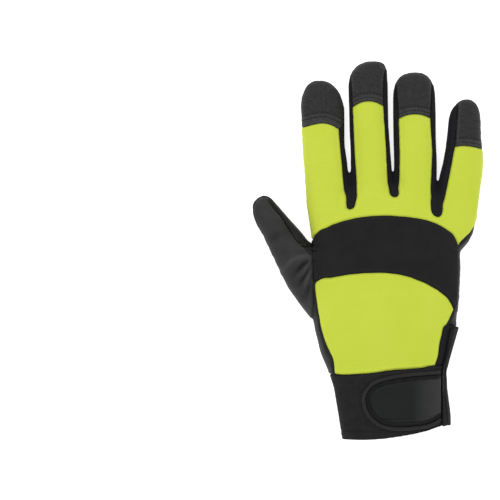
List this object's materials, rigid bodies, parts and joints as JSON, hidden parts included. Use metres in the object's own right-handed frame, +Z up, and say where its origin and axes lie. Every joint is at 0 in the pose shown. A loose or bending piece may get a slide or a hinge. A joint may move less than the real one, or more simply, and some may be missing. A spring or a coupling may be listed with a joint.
{
  "type": "mechanic glove",
  "caption": "Work glove for a right hand, lying palm down: leather palm, stretch back with raised knuckle band, fingertip caps, knitted cuff with closing strap, hollow inside.",
  "frame": {"origin": "middle of the glove's footprint on the surface it lies on", "axes": "+Y from the cuff to the fingertips, +X across the hand away from the thumb, +Z up from the surface, through the back of the hand"},
  "size_m": [0.1536, 0.2496, 0.0347],
  "materials": {
    "palm_leather": "black synthetic leather with a small raised hexagon emboss, semi-matte",
    "thumb_leather": "dark grey synthetic suede, matte",
    "tip_leather": "black grained synthetic leather, matte",
    "lime_knit": "lime stretch knit with fine crosswise ribs",
    "black_neoprene": "black foam-backed knit, matte",
    "side_knit": "thin black knit, matte",
    "cuff_knit": "black elastic knit with fine lengthwise ribs",
    "binding_tape": "black bias tape, matte",
    "strap_face": "smooth black face, satin"
  },
  "bodies": {
    "root": {"palm_panel": "palm_leather", "middle_front": "palm_leather", "ring_front": "palm_leather", "thumb_front": "palm_leather", "thumb_back": "thumb_leather", "back_panel_upper": "lime_knit", "knuckle_band": "black_neoprene", "back_panel_lower": "lime_knit", "index_tip": "tip_leather", "middle_tip": "tip_leather", "ring_tip": "tip_leather", "pinky_tip": "tip_leather", "index_middle_fourchette": "side_knit", "middle_ring_fourchette": "side_knit", "ring_pinky_fourchette": "side_knit", "vent_gusset": "side_knit", "cuff": "cuff_knit", "side_binding": "binding_tape", "strap_tab": "cuff_knit", "strap_piping": "binding_tape", "strap_face": "strap_face"}
  },
  "joints": []
}
